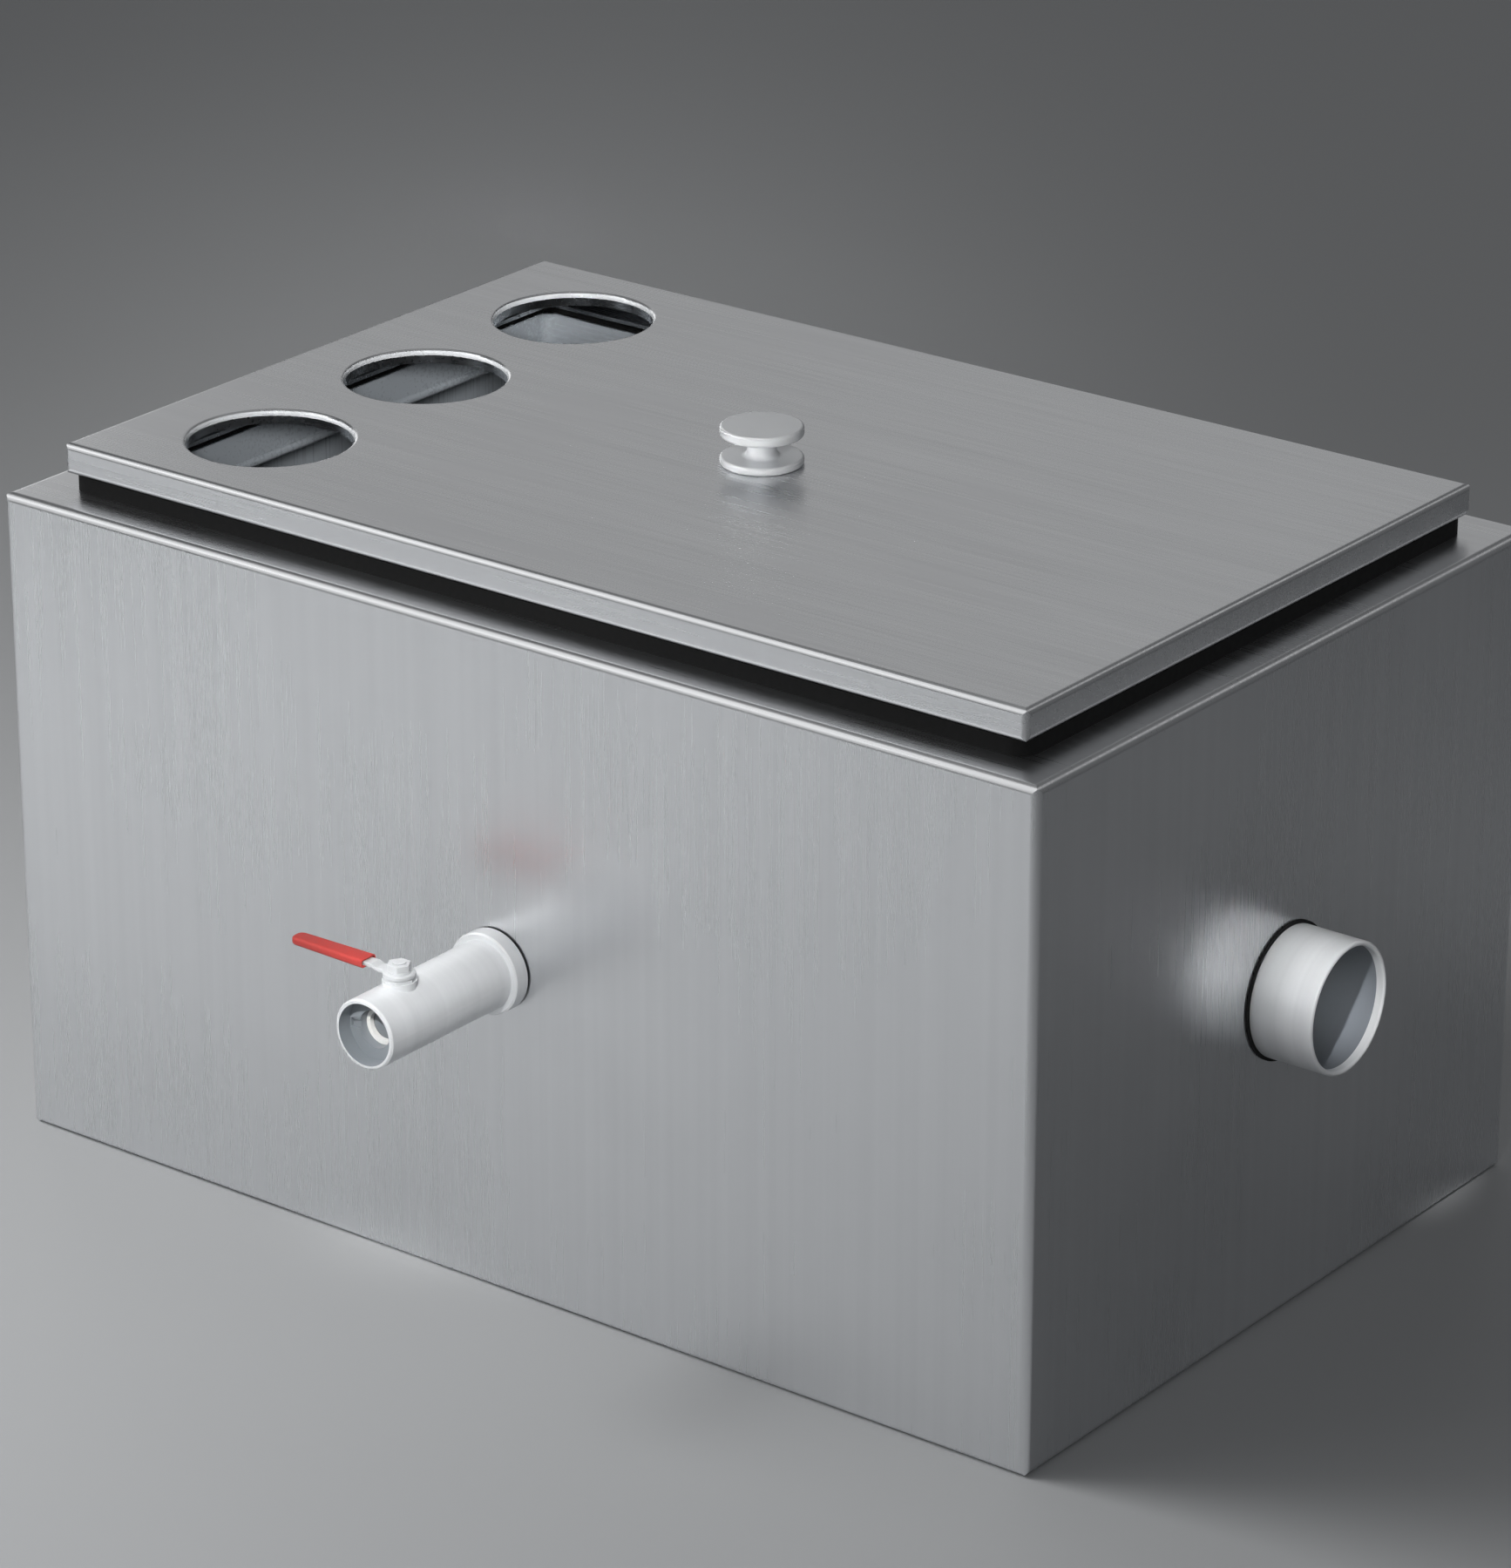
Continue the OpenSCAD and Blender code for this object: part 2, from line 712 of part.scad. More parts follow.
// Round at the gland, flat-sided in the lever and threaded above it
module valve_stem() {
    thread_l = lever_t + spring_t + lever_nut_t + thread_proud;
    color(dark_steel) at_stem() {
        translate([-tang_w / 2, -tang_l / 2, tang_top - tang_h])
            cube([tang_w, tang_l, tang_h + tang_root]);
        translate([0, 0, tang_top]) cylinder(r = stem_r, h = lever_y - tang_top);
        translate([0, 0, lever_y - eps]) {
            intersection() {
                cylinder(r = stem_r, h = lever_t + eps);
                translate([-stem_d, -flat_w / 2, 0]) cube([2 * stem_d, flat_w, lever_t + eps]);
            }
            cylinder(r = thread_r, h = thread_l);
        }
    }
}

// Outline of the strip from above, along -X with a round tip
module strip_plan(grow) {
    tip_x = strip_l - lever_w / 2;
    translate([-tip_x, -lever_w / 2 - grow]) square([tip_x, lever_w + 2 * grow]);
    translate([-tip_x, 0]) circle(lever_w / 2 + grow);
}

// The strip seen from its side: along -X it rises by the crank
module lever() {
    ramp_end = crank_start + crank_run;
    color(steel) at_stem() translate([0, 0, lever_y]) difference() {
        intersection() {
            rotate([90, 0, 0]) linear_extrude(4 * hub_r, center = true) polygon([
                [hub_r, 0], [hub_r, lever_t],
                [-crank_start, lever_t], [-ramp_end, lever_t + lever_rise],
                [-lever_l, lever_t + lever_rise],
                [-lever_l, lever_rise], [-ramp_end, lever_rise], [-crank_start, 0]]);
            translate([0, 0, -1]) linear_extrude(lever_t + lever_rise + 2) {
                circle(hub_r);
                strip_plan(0);
            }
        }
        intersection() {
            cylinder(r = stem_r + push_gap, h = 3 * lever_t, center = true);
            cube([2 * stem_d, flat_w + 2 * push_gap, 3 * lever_t], center = true);
        }
    }
}

// A soft sleeve over the strip, open at its wide end
module lever_grip() {
    mid = lever_y + lever_rise + lever_t / 2;
    root_r = grip_w / 2;
    tip_r = grip_tip_w / 2;
    color(red_vinyl) at_stem() translate([0, 0, mid]) difference() {
        intersection() {
            hull() {
                translate([-grip_start, 0, 0]) grip_puck(root_r);
                translate([tip_r - lever_l, 0, 0]) grip_puck(tip_r);
            }
            translate([-lever_l - 1, -grip_w, -grip_t]) cube([grip_l + 1, 2 * grip_w, 2 * grip_t]);
        }
        translate([0, 0, -lever_t / 2 - push_gap])
            linear_extrude(lever_t + 2 * push_gap) strip_plan(push_gap);
    }
}

module grip_puck(r) {
    translate([0, 0, -grip_t / 2]) rotate_extrude($fn = 32) disc_section(r, grip_t, grip_edge, $fn = 24);
}

module lever_spring_washer() {
    color(steel) at_stem() translate([0, 0, lever_y + lever_t])
        ring(lever_nut_flats / 2 + spring_lip, thread_r + thread_gap, spring_t);
}

module lever_nut() {
    color(steel) at_stem() translate([0, 0, lever_y + lever_t + spring_t]) difference() {
        hex_prism(lever_nut_flats, lever_nut_t);
        translate([0, 0, -eps]) cylinder(r = thread_r + thread_gap, h = lever_nut_t + 2 * eps);
    }
}

tank_body();
tank_rim();
lid();
lid_seal();
lid_knob();
knob_washer();
knob_screw();
inlet_baffle();
basket_rails();
basket_frame();
basket_screen();
basket_handles();
outlet_pipe();
outlet_seal();
outlet_tee();
valve_body();
outer_wall_seal();
inner_wall_seal();
back_nut();
valve_seats();
valve_ball();
valve_insert();
stem_packing();
gland_nut();
valve_stem();
lever();
lever_grip();
lever_spring_washer();
lever_nut();
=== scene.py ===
# %% [markdown]
# # A stainless grease trap
# The trap is a folded steel tank that stands on a kitchen floor. Three sinks drain through its lid,
# the grease floats, clean water leaves at the right, and a small valve in front draws the grease off.
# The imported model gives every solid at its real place. This notebook lights it, gives each piece its
# finish, and models the one piece that needs softer forms than a solid model has, the lever's sleeve.

# %% Load the frame
import json
import math

import bmesh
import bpy
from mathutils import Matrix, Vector


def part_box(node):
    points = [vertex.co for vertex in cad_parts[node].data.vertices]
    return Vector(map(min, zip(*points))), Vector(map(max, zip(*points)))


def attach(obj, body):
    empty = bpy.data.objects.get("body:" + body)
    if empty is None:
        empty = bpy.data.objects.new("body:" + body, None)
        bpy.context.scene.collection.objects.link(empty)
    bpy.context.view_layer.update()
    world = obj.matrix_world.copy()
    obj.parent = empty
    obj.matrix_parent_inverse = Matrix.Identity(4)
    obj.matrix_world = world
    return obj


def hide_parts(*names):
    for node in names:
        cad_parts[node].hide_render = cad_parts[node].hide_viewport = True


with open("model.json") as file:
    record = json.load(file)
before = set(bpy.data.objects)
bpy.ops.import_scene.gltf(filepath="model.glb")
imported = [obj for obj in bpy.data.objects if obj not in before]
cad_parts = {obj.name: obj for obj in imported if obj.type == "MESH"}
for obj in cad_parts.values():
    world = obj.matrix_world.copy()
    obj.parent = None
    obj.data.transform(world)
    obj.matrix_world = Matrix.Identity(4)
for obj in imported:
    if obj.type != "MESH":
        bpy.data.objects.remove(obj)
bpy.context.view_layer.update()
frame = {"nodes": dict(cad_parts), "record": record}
nodes = frame["nodes"]

# %% [markdown]
# ## Camera
# The photograph looks down on the corner between the valve's wall and the outlet's wall. A camera is
# easiest to place from the point it looks at, two angles and a distance, because each of those can be
# read from the picture: the edges of the box fix the angles and the lens, and the size fixes the distance.

# %% Camera
VIEW_AZIMUTH = math.radians(37.56)
VIEW_ELEVATION = math.radians(22.57)
VIEW_DISTANCE = 2.85
VIEW_TARGET = Vector((0.1025, -0.1382, 0.2618))
LENS_MM = 145.5
SENSOR_MM = 36.0


def place_photo_camera():
    data = bpy.data.cameras.new("photo_camera")
    data.lens = LENS_MM
    data.sensor_width = SENSOR_MM
    camera = bpy.data.objects.new("photo_camera", data)
    bpy.context.scene.collection.objects.link(camera)
    level = math.cos(VIEW_ELEVATION)
    back = Vector((
        math.sin(VIEW_AZIMUTH) * level,
        -math.cos(VIEW_AZIMUTH) * level,
        math.sin(VIEW_ELEVATION),
    ))
    camera.location = VIEW_TARGET + back * VIEW_DISTANCE
    camera.rotation_euler = back.to_track_quat("Z", "Y").to_euler()
    bpy.context.scene.camera = camera
    return camera


photo_camera = place_photo_camera()
print("camera at", tuple(round(c, 3) for c in photo_camera.location))

# %% [markdown]
# ## Floor and room
# The trap stands on a plain pale floor in a dim grey room. Steel shows its surroundings more than its own
# colour, so both come before any finish: the floor is what the two walls mirror, and the room is what is
# left wherever no lamp or card stands.

# %% Floor and room
FLOOR_SIZE = 14.0
FLOOR_COLOUR = (0.51, 0.52, 0.53)
FLOOR_ROUGHNESS = 0.55
ROOM_COLOUR = (0.106, 0.108, 0.111)

scene = bpy.context.scene
scene.view_settings.view_transform = "Standard"


def new_material(name):
    material = bpy.data.materials.new(name)
    material.use_nodes = True
    tree = material.node_tree
    return material, tree, tree.nodes["Principled BSDF"]


def studio_floor():
    bpy.ops.object.select_all(action="DESELECT")
    bpy.ops.mesh.primitive_plane_add(size=FLOOR_SIZE, location=(0.0, 0.0, 0.0))
    floor = bpy.context.active_object
    floor.name = "studio_floor"
    material, tree, shader = new_material("pale_floor")
    shader.inputs["Base Color"].default_value = (*FLOOR_COLOUR, 1.0)
    shader.inputs["Roughness"].default_value = FLOOR_ROUGHNESS
    floor.data.materials.append(material)
    return floor


def studio_room():
    world = bpy.data.worlds.new("studio_room")
    world.use_nodes = True
    background = world.node_tree.nodes["Background"]
    background.inputs["Color"].default_value = (*ROOM_COLOUR, 1.0)
    scene.world = world
    return world


print("stage:", studio_floor().name, "in", studio_room().name)

# %% [markdown]
# ## Lamps
# The long wall mirrors the floor in front of it, the short wall mirrors the floor behind it, and the lid
# mirrors the back of the room. A key from the left lights the floor that the long wall sees, and the floor
# behind stays dark. Dim cards stand where the lid and the folds look: the steel mirrors them, so they are
# large and weak. The card overhead is seen in mirrors alone and keeps the lid from going black from above.

# %% Soft box
def soft_box(name, place, aim, size, power, beam_deg, mirrored=False, lights=True):
    """A rectangular lamp: metres, watts, and the angle of its beam. Steel mirrors it only if asked to."""
    data = bpy.data.lights.new(name, "AREA")
    data.shape = "RECTANGLE"
    data.size, data.size_y = size
    data.energy = power
    data.spread = math.radians(beam_deg)
    lamp = bpy.data.objects.new(name, data)
    scene.collection.objects.link(lamp)
    lamp.location = place
    lamp.visible_camera = False
    lamp.visible_glossy = mirrored
    lamp.visible_diffuse = lights
    lamp.rotation_euler = (Vector(place) - Vector(aim)).to_track_quat("Z", "Y").to_euler()
    return lamp


key_box = soft_box("key_box", (-1.7, -1.0, 1.5), (-0.34, -0.80, 0.0), (1.2, 1.2), 8.0, 66.0)
print("key:", key_box.data.energy, "W")

# %% Cards
cards = [
    soft_box("left_card", (-1.25, -1.25, 1.85), (0.0, -0.2, 0.34), (1.5, 1.5), 3.0, 130.0, mirrored=True),
    soft_box("front_card", (-1.6, -1.95, 1.05), (0.1, -0.2, 0.3), (3.1, 1.5), 3.6, 120.0, mirrored=True),
    soft_box("fill_box", (1.15, -2.0, 1.15), (0.0, -0.1, 0.33), (1.7, 1.2), 0.55, 50.0, mirrored=True),
    soft_box("back_card", (-2.3, 2.9, 1.9), (-0.1, 0.0, 0.35), (3.0, 1.8), 2.0, 120.0, mirrored=True),
    soft_box("side_card", (-2.2, 1.1, 0.70), (-0.2, 0.0, 0.36), (1.0, 0.7), 0.3, 60.0, mirrored=True),
    soft_box("edge_card", (1.4, 2.6, 2.2), (0.29, 0.0, 0.33), (1.2, 0.8), 0.045, 30.0, mirrored=True),
    soft_box(
        "ceiling_card", (0.0, 0.3, 3.0), (0.0, 0.3, 0.0), (3.4, 3.4), 5.5, 180.0, mirrored=True, lights=False,
    ),
]
print("cards:", [card.name for card in cards])

# %% [markdown]
# ## Narrow lamps
# Five places are bright in the photograph beside much darker steel: the inlets, the outlet and its bore, the
# valve and the knob. Each gets a lamp of its own with a narrow beam, and the back inlet, the lightest of the
# three, a second. These lamps are hidden from mirrors, or the lid would show them as white spots from some
# other side. Those of the valve and the outlet stand high, so that the pipes are darker underneath.

# %% Narrow lamps
narrow_lamps = [
    soft_box("inlet_lamp", (1.0, -1.5, 1.15), (-0.21, 0.03, 0.34), (0.35, 0.35), 0.48, 16.0),
    soft_box("back_inlet_lamp", (1.45, -1.75, 1.10), (-0.2065, 0.120, 0.335), (0.10, 0.10), 0.0085, 2.0),
    soft_box("outlet_lamp", (0.85, -1.45, 1.65), (0.320, 0.0, 0.176), (0.05, 0.05), 0.0112, 1.5),
    soft_box("bore_lamp", (1.68, -1.76, 1.10), (0.336, 0.0, 0.165), (0.05, 0.05), 0.0055, 1.5),
    soft_box("valve_lamp", (0.75, -1.75, 1.65), (0.0, -0.262, 0.17), (0.1, 0.1), 0.050, 3.0),
    soft_box("knob_lamp", (0.35, -2.3, 0.60), (0.0, 0.0, 0.375), (0.08, 0.08), 0.038, 2.0),
]
print("narrow lamps:", [lamp.name for lamp in narrow_lamps])

# %% [markdown]
# ## Nodes for a finish
# A finish is a few small ideas joined together: noise stretched into grain, a slow cloud for smudges,
# and a mask that knows which side of a wall a point is on. Each idea is one function here, and it reads
# Object coordinates, which are metres in the trap's own frame because every piece sits at the origin.

# %% Node helpers
def add_node(tree, kind, **settings):
    node = tree.nodes.new(kind)
    for key, value in settings.items():
        setattr(node, key, value)
    return node


def place_of(tree):
    return add_node(tree, "ShaderNodeTexCoord").outputs["Object"]


def place_along(tree):
    """The point's X, Y and Z as three sockets."""
    apart = add_node(tree, "ShaderNodeSeparateXYZ")
    tree.links.new(place_of(tree), apart.inputs["Vector"])
    return apart.outputs


def calc(tree, operation, first, second=0.0):
    math_node = add_node(tree, "ShaderNodeMath", operation=operation)
    for socket, value in zip(math_node.inputs, (first, second)):
        if isinstance(value, (int, float)):
            socket.default_value = value
        else:
            tree.links.new(value, socket)
    return math_node.outputs["Value"]


print("node helpers:", [helper.__name__ for helper in (add_node, place_of, place_along, calc)])

# %% Grain, colour and relief
NOISE_LOW, NOISE_HIGH = 0.3, 0.7
MIX_FIRST, MIX_SECOND, MIX_RESULT = 6, 7, 2


def grain_noise(tree, scale, detail=3.0):
    stretch = add_node(tree, "ShaderNodeMapping")
    stretch.inputs["Scale"].default_value = scale
    noise = add_node(tree, "ShaderNodeTexNoise")
    noise.inputs["Scale"].default_value = 1.0
    noise.inputs["Detail"].default_value = detail
    tree.links.new(place_of(tree), stretch.inputs["Vector"])
    tree.links.new(stretch.outputs["Vector"], noise.inputs["Vector"])
    return noise.outputs["Fac"]


def spread(tree, source, low, high):
    """Noise keeps to the middle of its range, so the middle is drawn out to low and high."""
    ranges = add_node(tree, "ShaderNodeMapRange")
    ranges.inputs["From Min"].default_value = NOISE_LOW
    ranges.inputs["From Max"].default_value = NOISE_HIGH
    ranges.inputs["To Min"].default_value = low
    ranges.inputs["To Max"].default_value = high
    tree.links.new(source, ranges.inputs["Value"])
    return ranges.outputs["Result"]


def blend_colour(tree, share, dark, light):
    """A Mix node has sockets for every kind of value, so its colours are found by number."""
    mix = add_node(tree, "ShaderNodeMix", data_type="RGBA")
    tree.links.new(share, mix.inputs["Factor"])
    for socket, value in ((mix.inputs[MIX_FIRST], dark), (mix.inputs[MIX_SECOND], light)):
        if isinstance(value, tuple):
            socket.default_value = (*value, 1.0)
        else:
            tree.links.new(value, socket)
    return mix.outputs[MIX_RESULT]


def raise_surface(tree, shader, height, strength, distance):
    bump = add_node(tree, "ShaderNodeBump")
    bump.inputs["Strength"].default_value = strength
    bump.inputs["Distance"].default_value = distance
    tree.links.new(height, bump.inputs["Height"])
    tree.links.new(bump.outputs["Normal"], shader.inputs["Normal"])


print("surface helpers:", [helper.__name__ for helper in (grain_noise, spread, blend_colour, raise_surface)])

# %% [markdown]
# ## Masks
# One solid can carry two finishes. The tank is dry outside, and darker and duller inside, a wet film with
# painted shade; a pipe is bright outside and darker and duller in its bore, again film and painted shade; and
# the lid's holes have a deburred lip with a painted highlight. A mask is 1 on the one and 0 on the other, and
# it is worked out from where a point lies, so it needs no texture image and no second mesh.

# %% Masks for pipes and holes
INLET_X = -0.2065
INLET_Y = (0.0, -0.114, 0.114)
INLET_LIP_LOW = 0.3506


def near_axis(tree, centre, across, radius):
    """1 within a radius of a line through centre; across names the two directions off the line."""
    place = place_along(tree)
    squares = []
    for name in across:
        offset = calc(tree, "SUBTRACT", place[name], centre["XYZ".index(name)])
        squares.append(calc(tree, "MULTIPLY", offset, offset))
    return calc(tree, "LESS_THAN", calc(tree, "ADD", *squares), radius * radius)


def cut_off(tree, mask, along, side, limit):
    """The mask on one side of a limit along one direction."""
    return calc(tree, "MULTIPLY", mask, calc(tree, side, place_along(tree)[along], limit))


# The lips found here carry a painted highlight.
def near_inlets(tree, radius):
    """1 on the upper lips of the lid's three holes."""
    middle, front, back = (near_axis(tree, (INLET_X, y, 0.0), "XY", radius) for y in INLET_Y)
    any_hole = calc(tree, "MAXIMUM", middle, calc(tree, "MAXIMUM", front, back))
    return cut_off(tree, any_hole, "Z", "GREATER_THAN", INLET_LIP_LOW)


print("inlet lips at x", INLET_X, "and y", INLET_Y)

# %% Mask for the inside
UNDERSIDE = 0.001
TANK_INSIDE = (0.2988, 0.1988, 0.306)
RIM_INSIDE = (0.2760, 0.1760, 0.3294)


# This mask darkens the tank's inside and the rim's lip: a wet film with painted shade.
def inside_box(tree, half_x, half_y, top):
    """1 between the walls, above the tank's underside and below a top."""
    place = place_along(tree)
    within_x = calc(tree, "LESS_THAN", calc(tree, "ABSOLUTE", place["X"]), half_x)
    within_y = calc(tree, "LESS_THAN", calc(tree, "ABSOLUTE", place["Y"]), half_y)
    below = calc(tree, "LESS_THAN", place["Z"], top)
    above = calc(tree, "GREATER_THAN", place["Z"], UNDERSIDE)
    across = calc(tree, "MULTIPLY", within_x, within_y)
    upright = calc(tree, "MULTIPLY", below, above)
    return calc(tree, "MULTIPLY", across, upright)


print("wet inside: tank", TANK_INSIDE, "rim", RIM_INSIDE)

# %% [markdown]
# ## Satin steel
# The sheet is cold-rolled stainless with a fine grain. Grain is noise stretched along the rolling direction:
# it roughens the mirror in stripes and lifts the surface by microns. Wider streaks of the same grain and a
# slow cloud, the smudges that hands and cloths leave, vary the colour. Inside the tank and in the pipes a mask
# turns the faces darker and less metallic: partly a thin film where water stands, partly painted shade.

# %% Satin steel
SHEET = (0.77, 0.78, 0.795), (0.87, 0.88, 0.895)
# Inside the tank the sheet is darker: partly a wet film, partly painted shade in the hollow.
WET_FILM_AND_SHADE = (0.36, 0.39, 0.42)
OVERLAY_METAL = 0.2
CLOUD_SCALE = (6.0, 6.0, 6.0)
CLOUD_SHARE, STREAK_SHARE = 0.65, 0.35
STREAK_WIDTH = 5.0
SMUDGE_LOW, SMUDGE_HIGH = -0.03, 0.04
GRAIN_DEPTH = 0.0002


def satin_steel(name, grain, colours, rough, lift, metal=1.0, overlay_mask=None, overlay_colour=WET_FILM_AND_SHADE):
    """Brushed steel, with another colour and less metal wherever the overlay's mask says so: a wet film with
    painted shade in hollows, a painted highlight on lips.

    grain is the noise's scale along X, Y and Z, rough its range of roughness, lift the strength of its relief.
    """
    material, tree, shader = new_material(name)
    fine = grain_noise(tree, grain)
    cloud = grain_noise(tree, CLOUD_SCALE)
    streak = grain_noise(tree, tuple(scale / STREAK_WIDTH for scale in grain))
    clouded = spread(tree, cloud, 0.0, CLOUD_SHARE)
    shade = calc(tree, "ADD", clouded, spread(tree, streak, 0.0, STREAK_SHARE))
    colour = blend_colour(tree, shade, *colours)
    smudge = spread(tree, cloud, SMUDGE_LOW, SMUDGE_HIGH)
    roughness = calc(tree, "ADD", spread(tree, fine, *rough), smudge)
    shader.inputs["Metallic"].default_value = metal
    # The overlay paints its colour over the steel: a wet film with painted shade inside the tank and the
    # bores, a painted highlight on the hole lips.
    if overlay_mask:
        overlaid = overlay_mask(tree)
        colour = blend_colour(tree, overlaid, colour, overlay_colour)
        bare = calc(tree, "SUBTRACT", metal, calc(tree, "MULTIPLY", overlaid, metal - OVERLAY_METAL))
        tree.links.new(bare, shader.inputs["Metallic"])
    tree.links.new(colour, shader.inputs["Base Color"])
    tree.links.new(roughness, shader.inputs["Roughness"])
    raise_surface(tree, shader, fine, lift, GRAIN_DEPTH)
    return material


tank_finish = satin_steel(
    "tank_satin", (700.0, 700.0, 6.0), SHEET, (0.25, 0.32), 0.035,
    overlay_mask=lambda tree: inside_box(tree, *TANK_INSIDE),
)
print("finish:", tank_finish.name)

# %% [markdown]
# ## Rim and lid
# The rim and the lid are the same sheet, but their grain runs along the trap. The rim's lip is turned down
# into the tank and gets the tank's film and painted shade. The lid's holes were punched and deburred, and a
# narrow light, duller lip round each of them carries a painted highlight, bright from every side.

# %% Rim and lid
LENGTHWISE = (9.0, 600.0, 600.0)
INLET_LIP_RADIUS = 0.0405
# The lips round the holes are light and dull: a deburred edge, and a painted highlight that is bright from
# every side.
LIP_STEEL_AND_HIGHLIGHT = (0.80, 0.82, 0.84)

rim_finish = satin_steel(
    "rim_satin", LENGTHWISE, SHEET, (0.25, 0.32), 0.015,
    overlay_mask=lambda tree: inside_box(tree, *RIM_INSIDE),
)
lid_finish = satin_steel(
    "lid_satin", LENGTHWISE, SHEET, (0.24, 0.31), 0.03,
    overlay_mask=lambda tree: near_inlets(tree, INLET_LIP_RADIUS), overlay_colour=LIP_STEEL_AND_HIGHLIGHT,
)
print("finishes:", rim_finish.name, lid_finish.name)

# %% [markdown]
# ## Turned steel
# Knob, valve and outlet come from a lathe, and the tool leaves fine rings round the axis. Rings are the same
# stretched noise, dense along the axis and slow across it. Turned steel scatters more light than rolled
# sheet, so it is rougher and less metallic here. The bores of the valve and the outlet carry a darker film
# with painted shade.

# %% Turned steel
TURNED = (0.70, 0.715, 0.73), (0.88, 0.895, 0.91)
PIPE_AXIS = (0.0, 0.0, 0.165)
# The bores are darker and duller: partly a wet film, partly painted shade inside them.
VALVE_FILM_AND_SHADE, VALVE_BORE = (0.23, 0.25, 0.27), 0.0149
PIPE_FILM_AND_SHADE, PIPE_BORE = (0.16, 0.175, 0.195), 0.0293
PIPE_MOUTH_X = 0.3298


def pipe_bore(tree):
    """1 in the outlet's bore, where the film and painted shade go, but not on the bare metal edge of its
    mouth.
    """
    return cut_off(tree, near_axis(tree, PIPE_AXIS, "YZ", PIPE_BORE), "X", "LESS_THAN", PIPE_MOUTH_X)


knob_finish = satin_steel("knob_satin", (20.0, 20.0, 900.0), TURNED, (0.34, 0.42), 0.04, metal=0.75)
turned_finish = satin_steel("turned_satin", (90.0, 90.0, 90.0), TURNED, (0.44, 0.52), 0.02, metal=0.6)
valve_finish = satin_steel(
    "valve_satin", (20.0, 900.0, 20.0), TURNED, (0.42, 0.50), 0.05, metal=0.5,
    overlay_mask=lambda tree: near_axis(tree, PIPE_AXIS, "XZ", VALVE_BORE), overlay_colour=VALVE_FILM_AND_SHADE,
)
pipe_finish = satin_steel(
    "pipe_satin", (900.0, 20.0, 20.0), TURNED, (0.42, 0.50), 0.05, metal=0.5,
    overlay_mask=pipe_bore, overlay_colour=PIPE_FILM_AND_SHADE,
)
print("finishes:", [finish.name for finish in (knob_finish, turned_finish, valve_finish, pipe_finish)])

# %% [markdown]
# ## Rubber, polymer and vinyl
# The seals are dull black rubber, the valve's inner rings are white polymer and the lever's sleeve is
# dipped red vinyl. All three are plastics to a renderer: no metal, a soft highlight, a faint unevenness.

# %% Rubber, polymer and vinyl
SPECKLE_DETAIL = 4.0
SPECKLE_DEPTH = 0.0003
RUBBER = (0.003, 0.003, 0.003), (0.006, 0.006, 0.006)
POLYMER = (0.62, 0.62, 0.60), (0.68, 0.68, 0.66)
VINYL = (0.36, 0.038, 0.032), (0.42, 0.048, 0.041)


def moulded(name, colours, grain, rough, lift):
    material, tree, shader = new_material(name)
    speckle = grain_noise(tree, (grain, grain, grain), SPECKLE_DETAIL)
    colour = blend_colour(tree, spread(tree, speckle, 0.0, 1.0), *colours)
    tree.links.new(colour, shader.inputs["Base Color"])
    tree.links.new(spread(tree, speckle, *rough), shader.inputs["Roughness"])
    raise_surface(tree, shader, speckle, lift, SPECKLE_DEPTH)
    return material


rubber_finish = moulded("seal_rubber", RUBBER, 300.0, (0.7, 0.85), 0.2)
polymer_finish = moulded("seat_polymer", POLYMER, 400.0, (0.4, 0.5), 0.05)
vinyl_finish = moulded("grip_vinyl", VINYL, 500.0, (0.45, 0.6), 0.1)
print("finishes:", [finish.name for finish in (rubber_finish, polymer_finish, vinyl_finish)])

# %% [markdown]
# ## Finishes on the solids
# The record already sorts the solids into five materials, so each takes its slot's finish. A few pieces have
# a finish of their own, because their grain runs another way or their bore takes a wet film with painted
# shade, and they are named here.

# %% Give each solid its finish
finish_of_slot = {
    "steel_sheet": tank_finish,
    "turned_steel": turned_finish,
    "black_rubber": rubber_finish,
    "white_polymer": polymer_finish,
    "red_grip": vinyl_finish,
}
finish_of_node = {
    "tank_rim": rim_finish,
    "lid": lid_finish,
    "lid_knob": knob_finish,
    "valve_body": valve_finish,
    "valve_ball": valve_finish,
    "valve_insert": valve_finish,
    "outlet_pipe": pipe_finish,
}
for part in frame["record"]["subparts"]:
    solid = nodes[part["node"]]
    solid.data.materials.clear()
    solid.data.materials.append(finish_of_node.get(part["node"], finish_of_slot[part["material_slot"]]))
print("finished", len(nodes), "solids")

# %% [markdown]
# ## Broken edges
# No cut edge on real metal is a mathematical line: it is filed or tumbled to a small round, and that round
# is what catches the light. A solid from the CAD file arrives as loose triangles, so a Weld joins them, a
# planar Decimate gives back its flat faces, and a Bevel rounds what is left. All three stay live.

# %% Broken edges
WELD_REACH = 0.000002
FLAT_ANGLE = math.radians(1.0)
EDGE_ANGLE = math.radians(40.0)
EDGE_STEPS = 3
EDGE_RADIUS = {
    "outlet_pipe": 0.0007,
    "lever": 0.0004,
    "lever_nut": 0.0004,
    "back_nut": 0.0005,
    "basket_rails": 0.0003,
    "inlet_baffle": 0.0004,
    "outlet_tee": 0.0004,
}


def break_edges(name, radius):
    solid = nodes[name]
    weld = solid.modifiers.new("join", "WELD")
    weld.merge_threshold = WELD_REACH
    flats = solid.modifiers.new("flats", "DECIMATE")
    flats.decimate_type = "DISSOLVE"
    flats.angle_limit = FLAT_ANGLE
    edge = solid.modifiers.new("edge", "BEVEL")
    edge.width = radius
    edge.segments = EDGE_STEPS
    edge.limit_method = "ANGLE"
    edge.angle_limit = EDGE_ANGLE
    edge.harden_normals = True


for name, radius in EDGE_RADIUS.items():
    break_edges(name, radius)
print("broken edges on", list(EDGE_RADIUS))

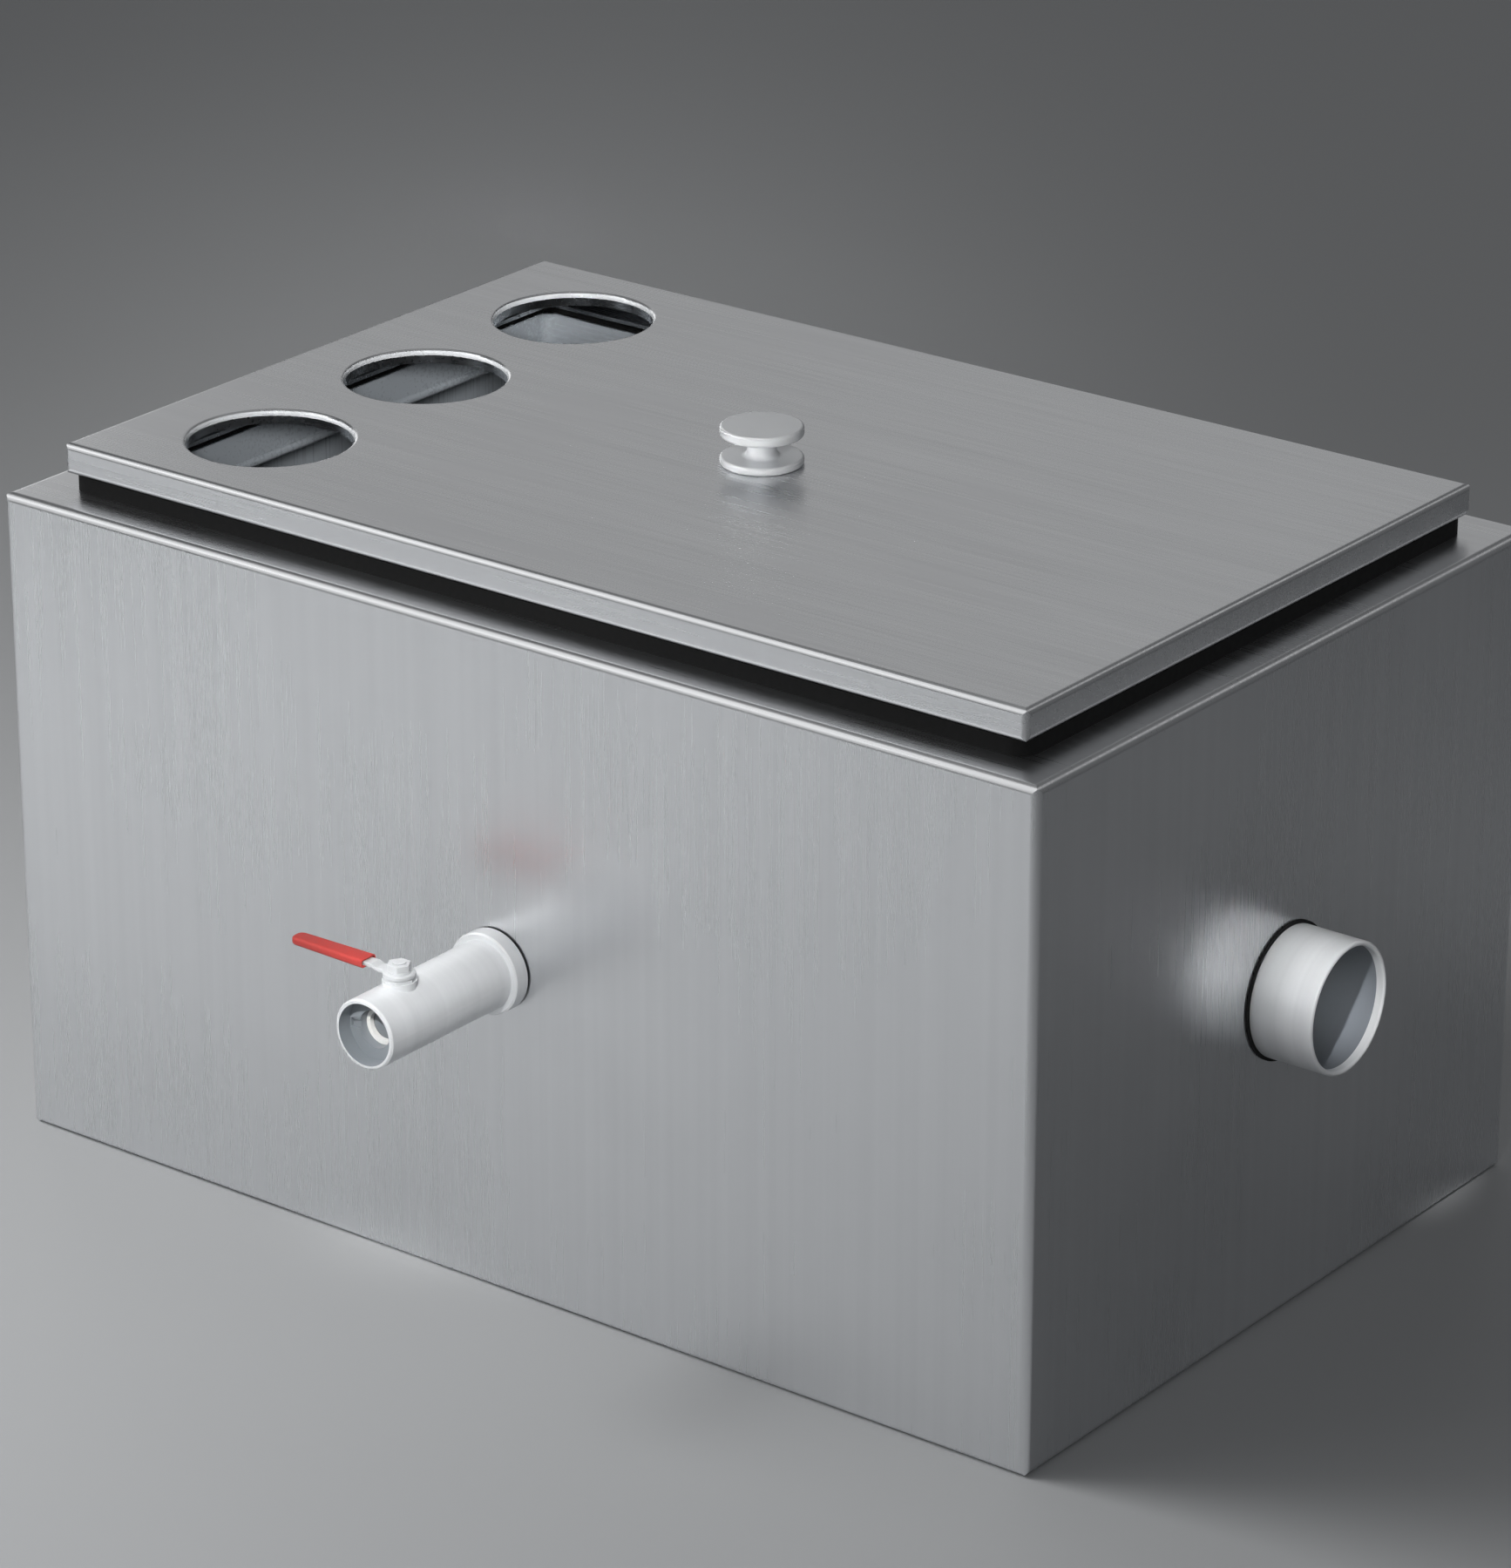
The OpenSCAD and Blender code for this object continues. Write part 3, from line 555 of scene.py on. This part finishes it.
# %% [markdown]
# ## Vinyl sleeve
# The lever's red sleeve is vinyl that was dipped or pushed on hot, so it has no sharp edge: the tip is round
# in plan, the top and bottom roll over, and the open end shows the thickness of the skin round the strip. A
# box with its edges beveled in two passes gives that shape, and an inset at the open end makes the mouth.

# %% Hand tools
SMOOTH_ANGLE = math.radians(35.0)


def begin_piece(name, add_primitive, **settings):
    bpy.ops.object.select_all(action="DESELECT")
    add_primitive(**settings)
    piece = bpy.context.active_object
    piece.name = name
    bpy.ops.object.transform_apply(location=True, rotation=True, scale=True)
    bpy.ops.object.mode_set(mode="EDIT")
    return piece


def pick(piece, kind, wanted):
    bpy.ops.mesh.select_mode(type=kind)
    bpy.ops.mesh.select_all(action="DESELECT")
    cage = bmesh.from_edit_mesh(piece.data)
    found = [part for part in (cage.faces if kind == "FACE" else cage.edges) if wanted(part)]
    for part in found:
        part.select_set(True)
    bmesh.update_edit_mesh(piece.data)


def finish_piece(piece, finish, slot, body, node):
    bpy.ops.object.mode_set(mode="OBJECT")
    bpy.ops.object.shade_smooth_by_angle(angle=SMOOTH_ANGLE)
    piece.data.materials.append(finish)
    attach(piece, body)
    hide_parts(node)


print("hand tools:", [tool.__name__ for tool in (begin_piece, pick, finish_piece)])

# %% Edges of the sleeve
SAME_PLACE = 0.00001
FACING, SIDEWAYS = 0.9, 0.5


def lies_at(edge, x):
    return all(abs(corner.co.x - x) < SAME_PLACE for corner in edge.verts)


def is_upright(edge):
    step = edge.verts[1].co - edge.verts[0].co
    return abs(step.z) > FACING * step.length


def is_roll(edge, mouth_x):
    """An edge between a side and the top or bottom, away from the mouth."""
    if lies_at(edge, mouth_x):
        return False
    slopes = sorted(abs(face.normal.z) for face in edge.link_faces)
    return slopes[0] < SIDEWAYS and slopes[1] > FACING


print("edge tests:", [test.__name__ for test in (lies_at, is_upright, is_roll)])

# %% Grip sleeve
SLEEVE_TIP = (1.0, 0.85, 0.92)
SLEEVE_TIP_ROUND, TIP_STEPS = 0.0036, 8
SLEEVE_ROLL, ROLL_STEPS = 0.0014, 5
SLEEVE_SKIN = 0.0008
SLEEVE_POCKET = 0.006
SLEEVE_MOUTH_EDGE, MOUTH_STEPS = 0.0003, 3
MOUTH_REACH = 0.0001
SHARP_TURN = 1.0


def model_grip_sleeve():
    low, high = (Vector(corner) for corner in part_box("lever_grip"))
    centre = (low + high) / 2.0
    sleeve = begin_piece(
        "grip_sleeve", bpy.ops.mesh.primitive_cube_add, size=1.0, location=centre, scale=high - low,
    )
    pick(sleeve, "FACE", lambda face: face.normal.x < -FACING)
    bpy.ops.transform.resize(value=SLEEVE_TIP, center_override=(low.x, centre.y, centre.z))
    pick(sleeve, "EDGE", lambda edge: lies_at(edge, low.x) and is_upright(edge))
    bpy.ops.mesh.bevel(offset=SLEEVE_TIP_ROUND, segments=TIP_STEPS, affect="EDGES")
    pick(sleeve, "EDGE", lambda edge: is_roll(edge, high.x))
    bpy.ops.mesh.bevel(offset=SLEEVE_ROLL, segments=ROLL_STEPS, affect="EDGES")
    mouth_x = high.x - MOUTH_REACH
    pick(sleeve, "FACE", lambda face: face.normal.x > FACING and face.calc_center_median().x > mouth_x)
    bpy.ops.mesh.inset(thickness=SLEEVE_SKIN)
    bpy.ops.mesh.extrude_region_move(TRANSFORM_OT_translate={"value": (-SLEEVE_POCKET, 0.0, 0.0)})
    pick(sleeve, "EDGE", lambda edge: lies_at(edge, high.x) and edge.calc_face_angle(0.0) > SHARP_TURN)
    bpy.ops.mesh.bevel(offset=SLEEVE_MOUTH_EDGE, segments=MOUTH_STEPS, affect="EDGES")
    finish_piece(sleeve, vinyl_finish, "red_grip", "lever_set", "lever_grip")
    return sleeve


grip_sleeve = model_grip_sleeve()
print("grip sleeve:", len(grip_sleeve.data.polygons), "faces")
